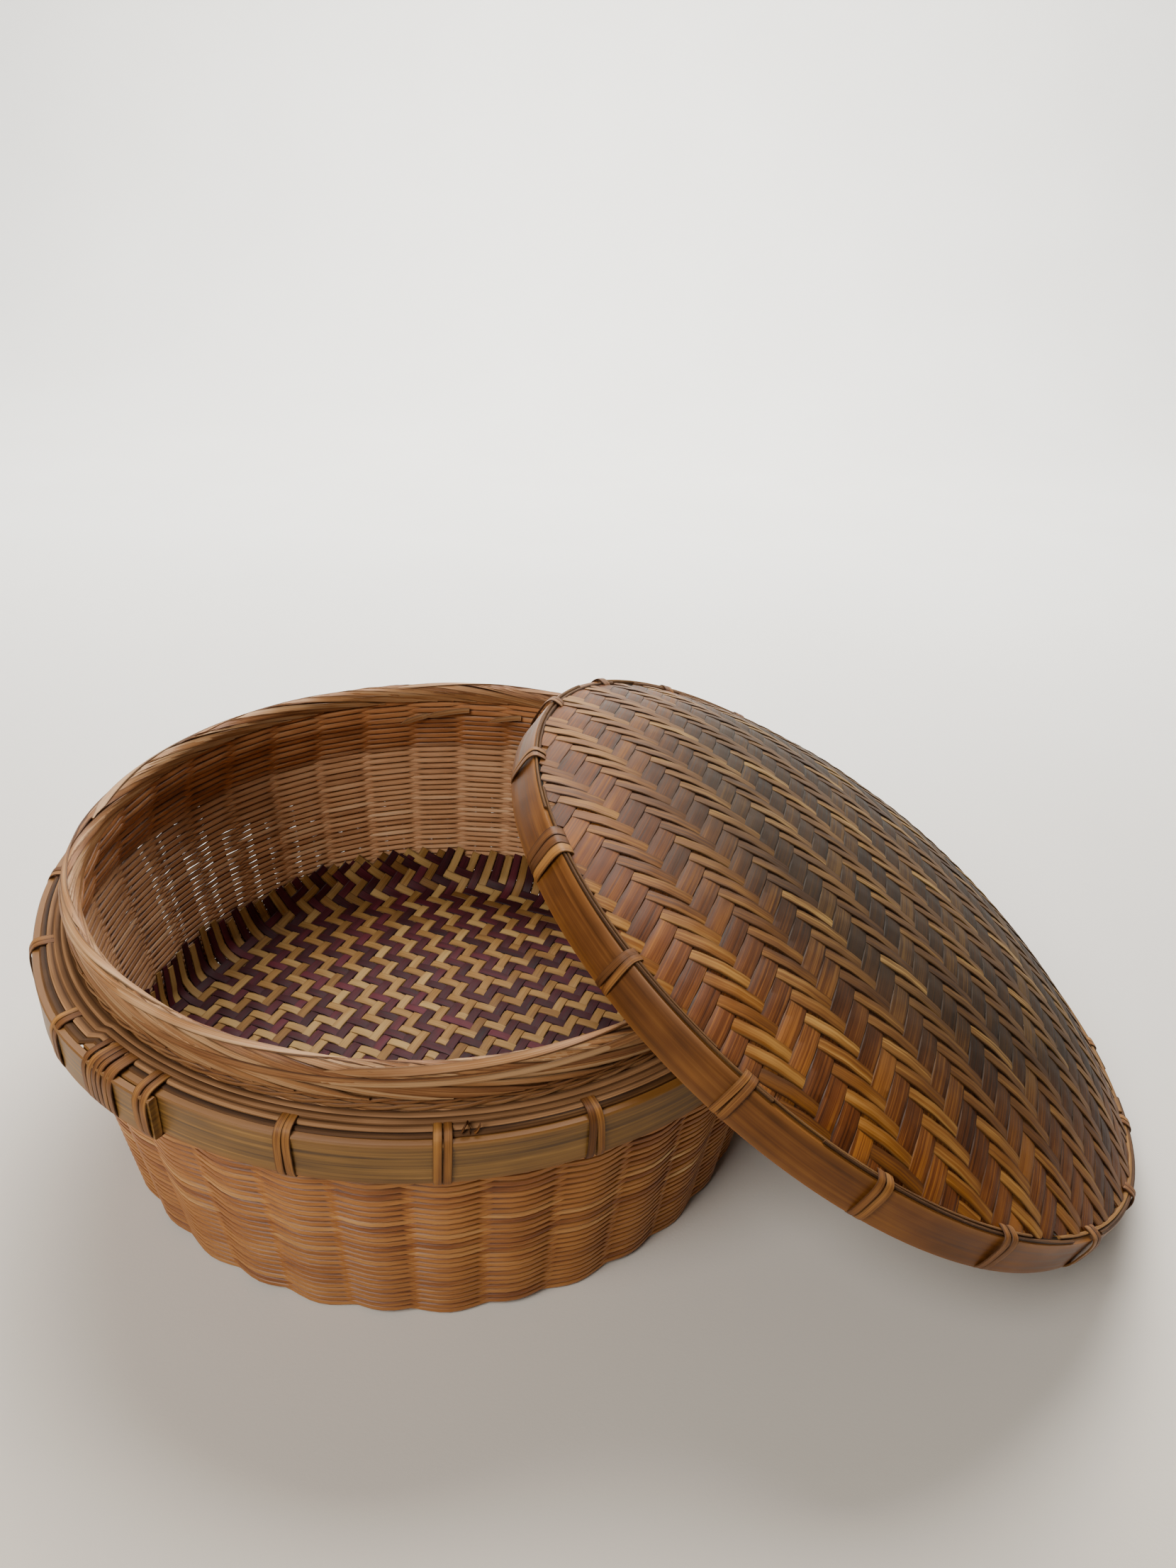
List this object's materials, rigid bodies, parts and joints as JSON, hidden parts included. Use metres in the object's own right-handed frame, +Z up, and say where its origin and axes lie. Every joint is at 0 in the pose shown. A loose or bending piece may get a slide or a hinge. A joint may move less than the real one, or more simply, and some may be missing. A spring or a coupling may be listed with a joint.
{
  "type": "lidded woven basket",
  "caption": "Round woven bamboo and cane basket with a patterned mat base, a rolled rim, a lashed ledge band and a separate low domed lid leaning on the rim.",
  "frame": {"origin": "centre of the basket's round base, on the floor it stands on", "axes": "+Z up along the basket's axis, +X from the basket's centre towards the leaning lid"},
  "size_m": [0.4452, 0.302, 0.1663],
  "materials": {
    "weft": "smooth split cane",
    "stake": "flat bamboo strip",
    "mat": "maroon and straw twill strips",
    "rim": "fine splints",
    "band": "bamboo skin, satin",
    "pale_cane": "dull cane",
    "dark_cane": "dull cane",
    "lashing": "flat cane",
    "dome": "varnished strips",
    "hoop": "varnished bamboo"
  },
  "bodies": {
    "basket": {"base_and_stakes": "stake", "base_mat": "mat", "ledge_band": "band", "ledge_cane_inner": "dark_cane", "ledge_cane_outer": "pale_cane", "ledge_lap_wrap": "lashing", "ledge_lashing_01": "lashing", "ledge_lashing_02": "lashing", "ledge_lashing_03": "lashing", "ledge_lashing_04": "lashing", "ledge_lashing_05": "lashing", "ledge_lashing_06": "lashing", "ledge_lashing_07": "lashing", "ledge_lashing_08": "lashing", "ledge_lashing_09": "lashing", "ledge_lashing_10": "lashing", "ledge_lashing_11": "lashing", "ledge_lashing_12": "lashing", "ledge_lashing_13": "lashing", "ledge_lashing_14": "lashing", "ledge_lashing_15": "lashing", "ledge_lashing_16": "lashing", "ledge_lashing_17": "lashing", "ledge_lashing_18": "lashing", "ledge_lashing_19": "lashing", "ledge_lashing_20": "lashing", "rim_braid": "rim", "rim_roll": "rim", "wall_weave": "weft"},
    "lid": {"lid_dome": "dome", "lid_filler_cane": "dark_cane", "lid_inner_hoop": "hoop", "lid_lap_wrap": "lashing", "lid_lashing_01": "lashing", "lid_lashing_02": "lashing", "lid_lashing_03": "lashing", "lid_lashing_04": "lashing", "lid_lashing_05": "lashing", "lid_lashing_06": "lashing", "lid_lashing_07": "lashing", "lid_lashing_08": "lashing", "lid_lashing_09": "lashing", "lid_lashing_10": "lashing", "lid_lashing_12": "lashing", "lid_lashing_13": "lashing", "lid_lashing_14": "lashing", "lid_lashing_15": "lashing", "lid_lashing_16": "lashing", "lid_lashing_17": "lashing", "lid_lashing_18": "lashing", "lid_outer_hoop": "hoop"}
  },
  "joints": [
    {"name": "lid_lift", "type": "slide", "parent": "basket", "child": "lid", "axis": [0, 0, 1], "range_m": [0, 0.15]}
  ]
}
